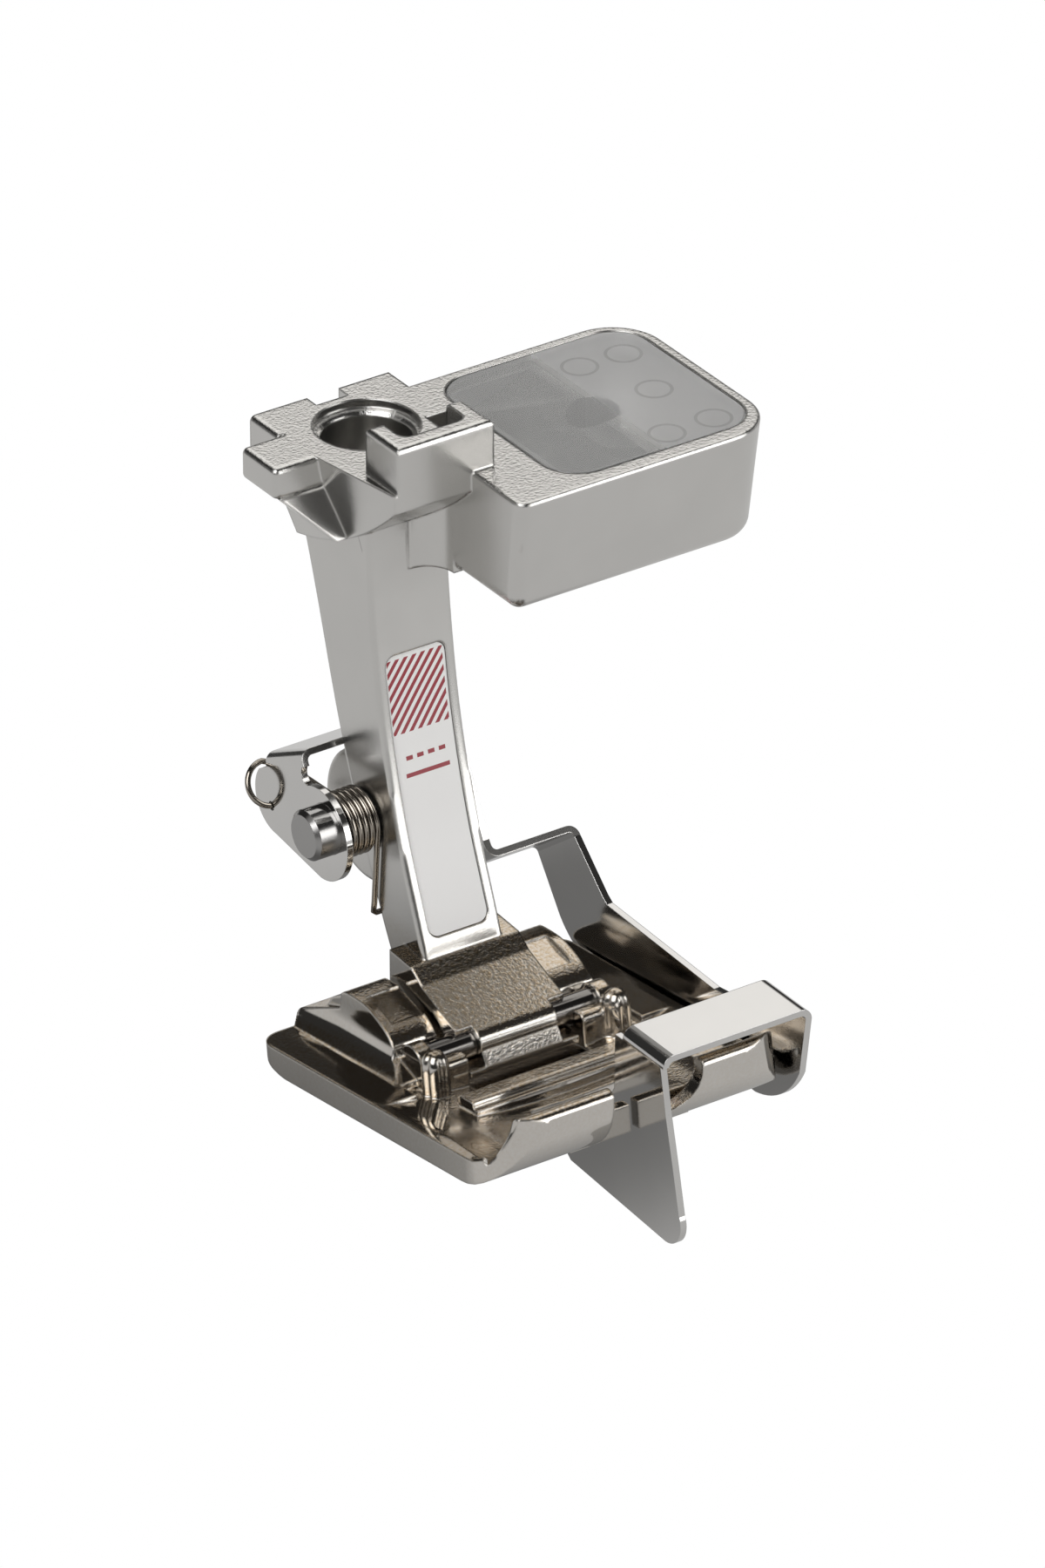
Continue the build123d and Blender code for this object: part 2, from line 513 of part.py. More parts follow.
def folded_section(points, bend):
    """Section of a folded sheet: both sides of a centre line of straight runs, bends rounded."""
    sides = []
    for sign in (1, -1):
        line = []
        radii = []
        for n, (x, z) in enumerate(points):
            before = points[max(n - 1, 0)]
            after = points[min(n + 1, len(points) - 1)]
            first = (Vector(x, z, 0) - Vector(*before, 0)) if n else (Vector(*after, 0) - Vector(x, z, 0))
            last = (Vector(*after, 0) - Vector(x, z, 0)) if n < len(points) - 1 else first
            first, last = first.normalized(), last.normalized()
            normal = (Vector(-first.Y, first.X, 0) + Vector(-last.Y, last.X, 0)).normalized()
            reach = SHEET / 2 / (normal.X * -first.Y + normal.Y * first.X)
            line.append((x + sign * reach * normal.X, z + sign * reach * normal.Y))
            if 0 < n < len(points) - 1:
                turn = first.X * last.Y - first.Y * last.X
                radii.append(bend - SHEET / 2 - sign * math.copysign(SHEET / 2, turn))
        sides.append((line, radii))
    (left, left_r), (right, right_r) = sides
    edges = [FilletPolyline(*left, radius=left_r), FilletPolyline(*right, radius=right_r),
             Line(left[0], right[0]), Line(left[-1], right[-1])]
    return make_face(edges)


def ribbon(front, back, path):
    """Folded ribbon between two (y, z) edges, its path given as x and the depth below that line."""
    width = math.dist(front, back)
    along = (0, (back[0] - front[0]) / width, (back[1] - front[1]) / width)
    section = Plane(origin=(0, *front), x_dir=(1, 0, 0), z_dir=along) * folded_section(path, BEND_R)
    return extrude(section, amount=width)


def sheet_plate(outline, x_low):
    """Plate of the sheet's thickness with its outer face's lower x given."""
    return extrude(Pos(x_low, 0, 0) * outline, amount=SHEET, dir=(1, 0, 0))


def past_bend(front, back, depth):
    """The two ends of a ribbon's edge line, moved down past the bend."""
    width = math.dist(front, back)
    down = ((back[1] - front[1]) / width * depth, (front[0] - back[0]) / width * depth)
    return [(0, y + down[0], z + down[1]) for y, z in (front, back)]


def left_ear():
    """Left ear plate, lobed round the pin and reaching back to the spring's hook."""
    front, back = past_bend(STRIP_FRONT, STRIP_BACK, BEND_R)
    outline = make_face([
        Polyline((0, 4.3, -27.2), back, front, (0, -1.1, -24.9)),
        ThreePointArc((0, -1.1, -24.9), (0, -1.4, -25.55), (0, -2.2, -25.5)),
        ThreePointArc((0, -2.2, -25.5), (0, -6.85, -28.3), (0, -3.5, -32.25)),
        Polyline((0, -3.5, -32.25), (0, 2.2, -31.45)),
        ThreePointArc((0, 2.2, -31.45), (0, 4.7, -29.6), (0, 4.3, -27.2)),
    ])
    plate = sheet_plate(outline, EAR_LEFT)
    plate -= cylinder_x(HOOK_HOLE_R, EAR_LEFT - 1, EAR_LEFT + 1, *HOOK_HOLE)
    return plate - cylinder_x(PIVOT_R, EAR_LEFT - 1, EAR_LEFT + 1, PIVOT_Y, PIVOT_Z)


def right_leg():
    """Leg between the strip behind the shank and the shelf."""
    top = past_bend(STRIP_FRONT, STRIP_BACK, BEND_R)
    foot = past_bend(SHELF_FRONT, SHELF_BACK, -BEND_R)
    return sheet_plate(make_face(Polyline(*top, foot[1], foot[0], close=True)), LEG_RIGHT - SHEET)


def side_arm():
    """Side arm that drops from the shelf, turns forward and ends in the clip's flange."""
    front, back = past_bend(SHELF_FRONT, SHELF_BACK, BEND_R)
    outline = make_face([
        Polyline(front, (0, -9.9, -37.0), (0, -10.5, -37.4), (0, -23.65, -37.8), (0, CLIP_BACK, -36.9),
                 (0, CLIP_BACK, CLIP_TOP - BEND_R), (0, CLIP_FRONT, CLIP_TOP - BEND_R), (0, -34.0, -39.5)),
        ThreePointArc((0, -34.0, -39.5), (0, -32.0, -42.1), (0, -28.7, -43.6)),
        Polyline((0, -28.7, -43.6), (0, -9.2, -43.4)),
        ThreePointArc((0, -9.2, -43.4), (0, -6.6, -42.7), (0, -4.6, -41.1)),
        Polyline((0, -4.6, -41.1), back, front),
    ])
    return sheet_plate(outline, ARM_OUTER - SHEET)


def blade():
    """Blade that hangs through the slot between the toes and flares back under the sole."""
    outline = make_face([
        Polyline((0, -34.4, CLIP_TOP - BEND_R), (0, -34.7, -36.5), (0, -35.1, -38.6), (0, -35.9, -42.0),
                 (0, -36.7, -45.7)),
        ThreePointArc((0, -36.7, -45.7), (0, -36.4, -47.8), (0, -34.8, -48.4)),
        Polyline((0, -34.8, -48.4), (0, -23.5, -47.7), (0, -22.4, -46.9), (0, -28.0, -40.6),
                 (0, -28.8, -39.2), (0, -28.9, CLIP_TOP - BEND_R), (0, -34.4, CLIP_TOP - BEND_R)),
    ])
    return sheet_plate(outline, BLADE_LEFT)


def edge_guide():
    """One folded steel sheet."""
    half = SHEET / 2
    reach = BEND_R + 0.3
    strip = ribbon(STRIP_FRONT, STRIP_BACK, [
        (EAR_LEFT + half, reach), (EAR_LEFT + half, half), (LEG_RIGHT - half, half), (LEG_RIGHT - half, reach)])
    shelf = ribbon(SHELF_FRONT, SHELF_BACK, [
        (LEG_RIGHT - half, half - reach), (LEG_RIGHT - half, half), (ARM_OUTER - half, half),
        (ARM_OUTER - half, reach)])
    clip = extrude(Plane((0, CLIP_FRONT, CLIP_TOP), x_dir=(1, 0, 0), z_dir=(0, 1, 0)) * folded_section([
        (BLADE_LEFT + half, BEND_R), (BLADE_LEFT + half, half), (ARM_OUTER - half, half),
        (ARM_OUTER - half, BEND_R)], BEND_R), amount=CLIP_BACK - CLIP_FRONT)
    return strip + left_ear() + right_leg() + shelf + side_arm() + clip + blade()


def wire_run(*points, bend=0.8):
    """Wire along straight runs with rounded bends."""
    path = FilletPolyline(*points, radius=bend) if len(points) > 2 else Line(*points)
    return sweep(Plane(path @ 0, z_dir=path % 0) * Circle(WIRE_R), path=path)


def guide_spring():
    """Torsion spring: close turns, a leg hooked behind the shank and a ring beside the left ear."""
    length = COIL_RIGHT - COIL_LEFT
    helix = Pos(COIL_LEFT, PIVOT_Y, PIVOT_Z) * Rot(0, 90, 0) * Rot(0, 0, 200) * Helix(
        COIL_PITCH, length, COIL_R)
    spring = sweep(Plane(helix @ 0, z_dir=helix % 0) * Circle(WIRE_R), path=helix, is_frenet=True)
    return spring


def write(node, solid):
    """Write one node's solid with the origin moved down to the top of the socket's wall."""
    export_step(Pos(0, 0, SOCKET_LIP_DEPTH + SOCKET_CHAMFER) * solid, "parts/" + node + ".step")


os.makedirs("parts", exist_ok=True)
write("shank_casting", shank_casting())
write("sensor_prism", sensor_prism())
write("label_plate", label_plate())
write("sole_plate", sole_plate())
write("sole_hinge_pin", sole_hinge_pin())
write("edge_guide", edge_guide())
write("guide_pivot_pin", guide_pivot_pin())
write("guide_spring", guide_spring())
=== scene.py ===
import math

import bmesh
import bpy
from mathutils import Matrix, Vector


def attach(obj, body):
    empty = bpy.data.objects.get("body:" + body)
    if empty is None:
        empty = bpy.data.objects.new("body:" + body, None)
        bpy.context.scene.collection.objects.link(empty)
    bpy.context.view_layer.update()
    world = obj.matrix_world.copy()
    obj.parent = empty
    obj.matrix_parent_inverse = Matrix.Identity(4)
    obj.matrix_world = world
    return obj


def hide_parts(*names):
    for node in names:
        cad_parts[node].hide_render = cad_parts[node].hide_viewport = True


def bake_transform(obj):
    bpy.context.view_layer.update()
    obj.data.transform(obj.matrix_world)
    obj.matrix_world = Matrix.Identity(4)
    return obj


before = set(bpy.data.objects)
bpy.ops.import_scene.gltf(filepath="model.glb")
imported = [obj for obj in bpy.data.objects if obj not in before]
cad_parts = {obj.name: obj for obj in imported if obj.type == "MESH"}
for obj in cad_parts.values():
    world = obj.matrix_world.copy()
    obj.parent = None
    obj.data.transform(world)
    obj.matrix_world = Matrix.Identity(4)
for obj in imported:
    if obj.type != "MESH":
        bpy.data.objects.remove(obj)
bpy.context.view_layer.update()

# Shank casting. One nickel-plated die casting that carries everything else: head with the presser bar
# socket, sensor box, shank and hinge block. The plating is satin on the flanks and a little sandy on
# the top faces. The piece is the solid with the flank under its wing cut to the head's round underside.


def arc(first, through, last, steps=8):
    """Points of the circular arc through three points of a plane, ends included."""
    a, b, c = Vector(first), Vector(through), Vector(last)
    d = 2 * (a.x * (b.y - c.y) + b.x * (c.y - a.y) + c.x * (a.y - b.y))
    squares = [p.length_squared for p in (a, b, c)]
    centre = Vector(((squares[0] * (b.y - c.y) + squares[1] * (c.y - a.y) + squares[2] * (a.y - b.y)) / d,
                     (squares[0] * (c.x - b.x) + squares[1] * (a.x - c.x) + squares[2] * (b.x - a.x)) / d))
    turns = [math.atan2(p.y - centre.y, p.x - centre.x) for p in (a, b, c)]
    whole = (turns[2] - turns[0]) % math.tau
    if (turns[1] - turns[0]) % math.tau > whole:
        whole -= math.tau
    radius = (a - centre).length
    return [(centre.x + radius * math.cos(turns[0] + whole * n / steps),
             centre.y + radius * math.sin(turns[0] + whole * n / steps)) for n in range(steps + 1)]


def piece_of(name, mesh):
    """A new piece of the scene from a finished bmesh, which is freed."""
    data = bpy.data.meshes.new(name)
    mesh.to_mesh(data)
    mesh.free()
    made = bpy.data.objects.new(name, data)
    bpy.context.scene.collection.objects.link(made)
    return made


def loft(name, sections):
    """Closed mesh through sections, each a ring of the same number of (x, y, z) points in millimetres."""
    mesh = bmesh.new()
    rings = [[mesh.verts.new(Vector(p) / 1000) for p in section] for section in sections]
    for near, far in zip(rings, rings[1:]):
        for n in range(len(near)):
            m = (n + 1) % len(near)
            mesh.faces.new((near[n], near[m], far[m], far[n]))
    mesh.faces.new(rings[0][::-1])
    mesh.faces.new(rings[-1])
    bmesh.ops.recalc_face_normals(mesh, faces=mesh.faces)
    return piece_of(name, mesh)


def prism(name, outline, axis, low, high):
    """Straight solid between two places on an axis, its outline given in the other two coordinates."""
    at = {"X": lambda p, s: (s, p[0], p[1]),
          "Y": lambda p, s: (p[0], s, p[1]),
          "Z": lambda p, s: (p[0], p[1], s)}
    return loft(name, [[at[axis](p, s) for p in outline] for s in (low, high)])


def combine(piece, operation, *tools):
    """Adds, cuts or keeps the tools' space, and removes the tools."""
    for tool in tools:
        step = piece.modifiers.new("step", "BOOLEAN")
        step.operation, step.object, step.solver = operation, tool, "EXACT"
        graph = bpy.context.evaluated_depsgraph_get()
        mesh = bpy.data.meshes.new_from_object(piece.evaluated_get(graph))
        piece.modifiers.clear()
        piece.data = mesh
        bpy.data.objects.remove(tool)
    return piece


def closed_copy(name, node_name):
    """A new, closed piece from a solid's mesh. The borders of the solid's faces, where its vertices
    are split, stay sharp."""
    mesh = bmesh.new()
    mesh.from_mesh(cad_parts[node_name].data)
    for edge in mesh.edges:
        edge.smooth = not edge.is_boundary
    bmesh.ops.remove_doubles(mesh, verts=mesh.verts, dist=1e-7)
    return piece_of(name, mesh)


WING_FRONT, WING_MIDDLE, WING_BACK = (-10.0, -0.3), (-5.2, -4.15), (3.3, -7.8)
WING_END, SHANK_SIDE = -9.5, -3.31
CUT_FOOT = -11.0
CREASE = math.radians(42)
casting = closed_copy("casting", "shank_casting")
under = arc(WING_FRONT, WING_MIDDLE, WING_BACK, 24) + [(WING_BACK[0], CUT_FOOT), (WING_FRONT[0], CUT_FOOT)]
combine(casting, "DIFFERENCE", prism("under", under, "X", WING_END, SHANK_SIDE))
borders = bmesh.new()
borders.from_mesh(casting.data)
for edge in borders.edges:
    if len(edge.link_faces) == 2 and edge.calc_face_angle() > CREASE:
        edge.smooth = False
borders.to_mesh(casting.data)
borders.free()
casting.data.shade_smooth()
casting.modifiers.new("weighted", "WEIGHTED_NORMAL").keep_sharp = True


def group(name, inputs, outputs):
    """An empty shader node group with named sockets, given as (name, kind, value)."""
    tree = bpy.data.node_groups.new(name, "ShaderNodeTree")
    for label, kind, value in inputs:
        socket = tree.interface.new_socket(label, in_out="INPUT", socket_type="NodeSocket" + kind)
        socket.default_value = value
    for label, kind in outputs:
        tree.interface.new_socket(label, in_out="OUTPUT", socket_type="NodeSocket" + kind)
    return tree, tree.nodes.new("NodeGroupInput"), tree.nodes.new("NodeGroupOutput")


def node(tree, kind, values=None, **settings):
    """A shader node with its settings and its sockets' values."""
    made = tree.nodes.new("ShaderNode" + kind)
    for key, value in settings.items():
        setattr(made, key, value)
    for key, value in (values or {}).items():
        made.inputs[key].default_value = value
    return made


def maths(tree, operation, a, b=None, c=None, clamp=False):
    """One Math node, with numbers or sockets as its terms."""
    made = node(tree, "Math", operation=operation, use_clamp=clamp)
    for n, term in enumerate((a, b, c)):
        if isinstance(term, (int, float)):
            made.inputs[n].default_value = term
        elif term is not None:
            tree.links.new(term, made.inputs[n])
    return made.outputs[0]


def ramp(tree, value, start, end, first=0.0, last=1.0):
    """A smooth change from one number to another while a value goes from start to end."""
    made = node(tree, "MapRange", {"From Min": start, "From Max": end, "To Min": first, "To Max": last},
                interpolation_type="SMOOTHSTEP")
    tree.links.new(value, made.inputs["Value"])
    return made.outputs[0]


def split(tree, vector):
    """The X, Y and Z of a vector."""
    made = node(tree, "SeparateXYZ")
    tree.links.new(vector, made.inputs[0])
    return made.outputs


def mix(tree, factor, first, second, blend_type="MIX"):
    """One node that mixes two colours, given as numbers or sockets."""
    made = node(tree, "MixRGB", blend_type=blend_type)
    tree.links.new(factor, made.inputs["Fac"])
    for key, colour in (("Color1", first), ("Color2", second)):
        if isinstance(colour, tuple):
            made.inputs[key].default_value = (*colour, 1)
        else:
            tree.links.new(colour, made.inputs[key])
    return made.outputs["Color"]


def material(piece, name, **values):
    """A new material with a Principled shader in the piece's first slot."""
    made = bpy.data.materials.new(name)
    made.use_nodes = True
    shader = made.node_tree.nodes["Principled BSDF"]
    for key, value in values.items():
        shader.inputs[key.replace("_", " ")].default_value = value
    piece.data.materials.clear()
    piece.data.materials.append(made)
    return made.node_tree, shader


# Plated metal effect, shared by all the metal pieces. Inputs: the grain's size in millimetres, its depth
# on the flanks and on the sandy faces that look up, the roughness and how far it varies, the roughness of
# low and upward faces, the height below which brown grain specks of painted reflection darken the colour,
# and how far sideways sand reaches.
plated, plated_in, plated_out = group(
    "plated_metal",
    [("Colour", "Color", (0.60, 0.59, 0.575, 1)), ("Grain mm", "Float", 0.25), ("Flank depth", "Float", 0.1),
     ("Sand depth", "Float", 1.0), ("Roughness", "Float", 0.2), ("Roughness change", "Float", 0.1),
     ("Low roughness", "Float", 0.1), ("Painted brown below mm", "Float", -100.0), ("Sand half mm", "Float", 100.0)],
    [("Base Color", "Color"), ("Roughness", "Float"), ("Bump Height", "Float")])
given = plated_in.outputs
place = node(plated, "TexCoord").outputs
spot = split(plated, place["Object"])
grain = node(plated, "TexNoise", {"Detail": 3.0, "Roughness": 0.6})
plated.links.new(place["Object"], grain.inputs["Vector"])
plated.links.new(maths(plated, "DIVIDE", 1000.0, given["Grain mm"]), grain.inputs["Scale"])
broad = node(plated, "TexNoise", {"Scale": 160.0, "Detail": 3.0, "Roughness": 0.55})
plated.links.new(place["Object"], broad.inputs["Vector"])
upward = ramp(plated, split(plated, place["Normal"])["Z"], 0.45, 0.85)
# Below the given height the faces are less rough, and painted brown reflection darkens their colour.
below = maths(plated, "SUBTRACT", given["Painted brown below mm"], maths(plated, "MULTIPLY", spot["Z"], 1000.0))
low = ramp(plated, below, -1.0, 1.0)

aside = maths(plated, "MULTIPLY", maths(plated, "ABSOLUTE", spot["X"]), 1000.0)
amid = ramp(plated, maths(plated, "SUBTRACT", given["Sand half mm"], aside), -0.8, 0.8, 0.12)
sand = maths(plated, "MULTIPLY", maths(plated, "MULTIPLY", upward, given["Sand depth"]), amid)
sand = maths(plated, "MAXIMUM", sand, given["Flank depth"])
plated.links.new(maths(plated, "MULTIPLY", grain.outputs["Fac"], sand), plated_out.inputs["Bump Height"])

swing = maths(plated, "SUBTRACT", broad.outputs["Fac"], 0.5)
rough = maths(plated, "MULTIPLY_ADD", swing, given["Roughness change"], given["Roughness"])
lower = maths(plated, "SUBTRACT", given["Low roughness"], rough)
polish = maths(plated, "MAXIMUM", low, upward)
plated.links.new(maths(plated, "MULTIPLY_ADD", lower, polish, rough), plated_out.inputs["Roughness"])

# Painted reflection: below the given height, grain specks darken the colour towards brown, most on faces
# that look up.
painted_brown_specks = maths(plated, "MULTIPLY_ADD", grain.outputs["Fac"], 1.6, -0.2)
lit = maths(plated, "MULTIPLY_ADD", upward, 0.8, 0.2)
painted_brown_specks = maths(plated, "MULTIPLY", maths(plated, "MULTIPLY", painted_brown_specks, lit), low, clamp=True)
brown = mix(plated, painted_brown_specks, given["Colour"], (0.72, 0.56, 0.36), "MULTIPLY")
tone = node(plated, "HueSaturation")
plated.links.new(brown, tone.inputs["Color"])
plated.links.new(maths(plated, "MULTIPLY_ADD", swing, 0.12, 1.0), tone.inputs["Value"])
plated.links.new(tone.outputs["Color"], plated_out.inputs["Base Color"])


def plate(piece, name, colour, grain_mm, bump_mm, flank, sand, roughness, change=0.06, low_roughness=0.1,
          painted_brown_below=-100.0, edge_mm=0.15, sand_half=100.0):
    """Gives a piece a material of the plated metal effect, its sharp edges softened in the shading."""
    tree, shader = material(piece, name, Metallic=1.0)
    effect = node(tree, "Group", node_tree=plated)
    values = {"Colour": (*colour, 1), "Grain mm": grain_mm, "Flank depth": flank, "Sand depth": sand,
              "Roughness": roughness, "Roughness change": change, "Low roughness": low_roughness,
              "Painted brown below mm": painted_brown_below, "Sand half mm": sand_half}
    for key, value in values.items():
        effect.inputs[key].default_value = value
    bump = node(tree, "Bump", {"Strength": 1.0, "Distance": bump_mm / 1000})
    edge = node(tree, "Bevel", {"Radius": edge_mm / 1000}, samples=6)
    tree.links.new(edge.outputs["Normal"], bump.inputs["Normal"])
    tree.links.new(effect.outputs["Bump Height"], bump.inputs["Height"])
    tree.links.new(effect.outputs["Base Color"], shader.inputs["Base Color"])
    tree.links.new(effect.outputs["Roughness"], shader.inputs["Roughness"])
    tree.links.new(bump.outputs["Normal"], shader.inputs["Normal"])


# Below a height of -33.5 mm, round the hinge block, brown grain specks are painted reflection.
plate(casting, "nickel_casting", (0.60, 0.592, 0.575), grain_mm=0.26, bump_mm=0.05, flank=0.03, sand=0.8,
      roughness=0.24, change=0.08, low_roughness=0.10, painted_brown_below=-33.5, edge_mm=0.3)
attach(casting, "shank")
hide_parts("shank_casting")

# Sensor prism. One clear plastic moulding, set flush in the top of the sensor box, for the machine's
# optical sensor. It is clear at the left and frosted at the right, where ejector pins left round marks.


def smooth(piece, angle):
    """Shades a piece smooth up to an angle between its faces, led by its large faces."""
    piece.data.shade_smooth()
    piece.data.set_sharp_from_angle(angle=math.radians(angle))
    piece.modifiers.new("weighted", "WEIGHTED_NORMAL").keep_sharp = True


def distance(tree, place, point):
    """How far a place is from a fixed point."""
    made = node(tree, "VectorMath", operation="DISTANCE")
    made.inputs[1].default_value = point
    tree.links.new(place, made.inputs[0])
    return made.outputs["Value"]


PRISM_TOP, FROST_EDGE, FROST_HALF = 0.0009, 0.0150, 0.0005
MARK_R, MARK_HALF = 0.00125, 0.00012
STEP_LINE = 0.0148
CLEAR_TONE, FROSTED_TONE, MARKED_TONE = (0.66, 0.664, 0.66), (1.0, 1.0, 1.0), (0.72, 0.72, 0.71)
PIN_MARKS_MM = ((20.5, -1.3), (19.3, -6.8), (20.3, -12.6), (16.4, -12.6), (16.9, -1.2), (7.4, -9.4))
prism_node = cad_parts["sensor_prism"]
smooth(prism_node, 30)
tree, shader = material(prism_node, "clear_moulding", IOR=1.49, Transmission_Weight=0.74)
place = node(tree, "TexCoord").outputs["Object"]
across = split(tree, place)["X"]
frost = ramp(tree, across, FROST_EDGE - FROST_HALF, FROST_EDGE + FROST_HALF)
tree.links.new(maths(tree, "MULTIPLY_ADD", frost, 0.30, 0.04), shader.inputs["Roughness"])
from_step = maths(tree, "ABSOLUTE", maths(tree, "SUBTRACT", across, STEP_LINE))
marks = maths(tree, "LESS_THAN", from_step, MARK_HALF)
for x, y in PIN_MARKS_MM:
    away = distance(tree, place, (x / 1000, y / 1000, PRISM_TOP))
    from_ring = maths(tree, "ABSOLUTE", maths(tree, "SUBTRACT", away, MARK_R))
    marks = maths(tree, "ADD", maths(tree, "LESS_THAN", from_ring, MARK_HALF), marks, clamp=True)
body = mix(tree, frost, CLEAR_TONE, FROSTED_TONE)
tree.links.new(mix(tree, marks, body, MARKED_TONE), shader.inputs["Base Color"])

# Label. A printed plastic plate in the recess on the shank's front: red diagonal stripes on a white
# ground over a small red mark for edge stitching, one whole line and one dashed line.


def within(value, low, high):
    """1 where a value lies between two limits, else 0."""
    over = maths(tree, "GREATER_THAN", value, low)
    return maths(tree, "MULTIPLY", over, maths(tree, "LESS_THAN", value, high))


def repeat(value, period, share):
    """1 over the first share of each period of a value, else 0."""
    return maths(tree, "LESS_THAN", maths(tree, "FRACT", maths(tree, "DIVIDE", value, period)), share)


STRIPE_SLOPE, STRIPE_PERIOD = -1.2, 0.86
DASH_START, DASH_PERIOD, DASH_SHARE = -1.62, 0.9, 0.6
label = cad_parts["label_plate"]
smooth(label, 30)
tree, shader = material(label, "printed_label", Roughness=0.38)
axes = split(tree, node(tree, "TexCoord").outputs["Object"])
x_mm = maths(tree, "MULTIPLY", axes["X"], 1000.0)
z_mm = maths(tree, "MULTIPLY", axes["Z"], 1000.0)
stripe = repeat(maths(tree, "MULTIPLY_ADD", x_mm, STRIPE_SLOPE, z_mm), STRIPE_PERIOD, 0.5)
field = maths(tree, "MULTIPLY", within(x_mm, -2.35, 2.25), within(z_mm, -19.8, -14.4))
line = maths(tree, "MULTIPLY", within(x_mm, -1.8, 1.8), within(z_mm, -22.95, -22.65))
dash = repeat(maths(tree, "SUBTRACT", x_mm, DASH_START), DASH_PERIOD, DASH_SHARE)
row = maths(tree, "MULTIPLY", within(x_mm, -1.7, 1.7), within(z_mm, -21.75, -21.45))
inked = maths(tree, "ADD", maths(tree, "MULTIPLY", stripe, field), line)
inked = maths(tree, "ADD", inked, maths(tree, "MULTIPLY", dash, row), clamp=True)
tree.links.new(mix(tree, inked, (0.82, 0.815, 0.81), (0.30, 0.028, 0.04)), shader.inputs["Base Color"])

# Sole. One nickel-plated die casting that rocks on its pin: heel with two ears, dished sandy floor,
# rounded cross rib, peened stakes beside the pin, and two upturned toes with the needle opening behind
# them. It is drawn level, in millimetres from the hinge's axis, and then tilted toe down.


def curve(points, steps=5):
    """Points of a smooth curve through the given ones, of any dimension, ends included."""
    knots = [Vector(p) for p in points]
    knots = [2 * knots[0] - knots[1]] + knots + [2 * knots[-1] - knots[-2]]
    out = []
    for n in range(1, len(knots) - 2):
        a, b, c, d = knots[n - 1:n + 3]
        for k in range(steps):
            t = k / steps
            out.append(tuple(0.5 * (2 * b + (c - a) * t + (2 * a - 5 * b + 4 * c - d) * t * t
                                    + (3 * b - a - 3 * c + d) * t ** 3)))
    return out + [tuple(knots[-2])]


def rounded(points, radii, steps=6):
    """Closed outline of a plane with each corner rounded by its own radius."""
    out = []
    for n, radius in enumerate(radii):
        corner = Vector(points[n])
        if not radius:
            out.append(tuple(corner))
            continue
        before = (Vector(points[n - 1]) - corner).normalized()
        after = (Vector(points[(n + 1) % len(points)]) - corner).normalized()
        half = before.angle(after) / 2
        centre = corner + (before + after).normalized() * radius / math.sin(half)
        start = corner + before * radius / math.tan(half) - centre
        end = corner + after * radius / math.tan(half) - centre
        whole = math.pi - 2 * half
        for k in range(steps + 1):
            t = k / steps
            out.append(tuple(centre + (start * math.sin((1 - t) * whole) + end * math.sin(t * whole))
                             / math.sin(whole)))
    return out


def block(name, x, y, z):
    """Box from three (low, high) pairs."""
    return prism(name, [(x[0], y[0]), (x[1], y[0]), (x[1], y[1]), (x[0], y[1])], "Z", *z)


def disc(centre, radius, steps=32):
    """Points of a circle."""
    return [(centre[0] + radius * math.cos(math.tau * n / steps),
             centre[1] + radius * math.sin(math.tau * n / steps)) for n in range(steps)]


def beside(side, near, far):
    """Two distances from the middle as places on one side of it, the lower first."""
    return sorted((side * near, side * far))


HALF, HEEL_HALF, HEEL, FOOT, TOP = 12.4, 12.75, 12.6, -3.06, -1.05
TOE, LIP, LIP_TOP, LIP_ROUND, BEND, FILLET = -17.5, 1.25, 2.4, 0.45, 4.95, 2.9
INNER = 4.8
ROOT = FOOT + 0.3
WALL = TOE + LIP
TURN = math.sqrt(0.5)


def concave(floor, radius):
    """Quarter round between a floor and the toe's inner wall, from the floor up."""
    drop = radius * (1 - TURN)
    return arc((WALL + radius, floor), (WALL + drop, floor + drop), (WALL, floor + radius), 8)


# Blank of the sole: side outline with the toe's bend, kept within the plan, with its toe ends swept down
outline = concave(TOP, FILLET)
outline += arc((WALL, LIP_TOP - LIP_ROUND), (WALL - LIP / 2, LIP_TOP), (TOE, LIP_TOP - LIP_ROUND), 8)
near = BEND * (1 - TURN)
outline += arc((TOE, FOOT + BEND), (TOE + near, FOOT + near), (TOE + BEND, FOOT), 10)
outline += arc((HEEL - 4.0, FOOT), (HEEL - 1.6, FOOT + 0.4), (HEEL, FOOT + 1.45), 6) + [(HEEL, TOP)]
sole = prism("sole", outline, "X", -HEEL_HALF - 1, HEEL_HALF + 1)
corners = [(-HALF, TOE), (HALF, TOE), (HEEL_HALF, HEEL), (-HEEL_HALF, HEEL)]
combine(sole, "INTERSECT", prism("plan", rounded(corners, [4.4, 4.4, 1.7, 1.7], 8), "Z", -10, 10))
for side, tip in ((-1, 10.2), (1, 11.2)):
    rim, far = side * (HALF - 0.1), side * (HALF + 1)
    swept = arc((side * tip, LIP_TOP), (side * (tip + (HALF - tip) * 0.4), TOP + 1.55), (rim, TOP), 8)
    swept += [(far, TOP), (far, LIP_TOP + 1), (side * tip, LIP_TOP + 1)]
    combine(sole, "DIFFERENCE", prism("end", swept, "Y", TOE - 1, WALL + 5))

